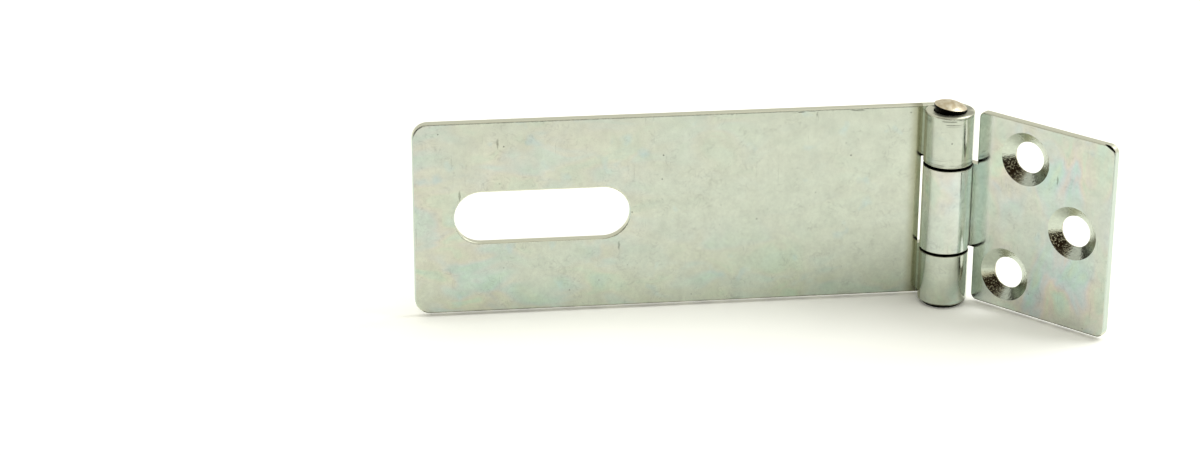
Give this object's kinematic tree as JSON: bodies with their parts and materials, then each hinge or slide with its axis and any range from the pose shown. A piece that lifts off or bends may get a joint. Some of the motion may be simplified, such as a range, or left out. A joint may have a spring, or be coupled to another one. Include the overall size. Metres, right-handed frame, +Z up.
{
  "type": "hinged hasp",
  "caption": "Hinged hasp of zinc-plated sheet steel: a slotted strap that swings on a riveted pin from a leaf with countersunk screw holes.",
  "frame": {"origin": "on the pin axis, at the lower face of the pin's foot, on which the hasp stands", "axes": "+Z up along the pin; the strap runs from the pin towards -X, and both front faces look towards -Y"},
  "size_m": [0.1498, 0.0319, 0.0479],
  "materials": {
    "zinc_plate": "bright zinc plate, glossy, with faint rainbow stains",
    "tarnished_pin": "tarnished steel rivet, tan on the dome and black below it"
  },
  "bodies": {
    "screwed_leaf": {"screw_leaf": "zinc_plate"},
    "swinging_strap": {"slotted_strap": "zinc_plate", "hinge_pin": "tarnished_pin"}
  },
  "joints": [
    {"name": "strap_hinge", "type": "hinge", "parent": "screwed_leaf", "child": "swinging_strap", "pos_m": [0, 0, 0.0233], "axis": [0, 0, 1], "range_deg": [-132, 142]}
  ]
}
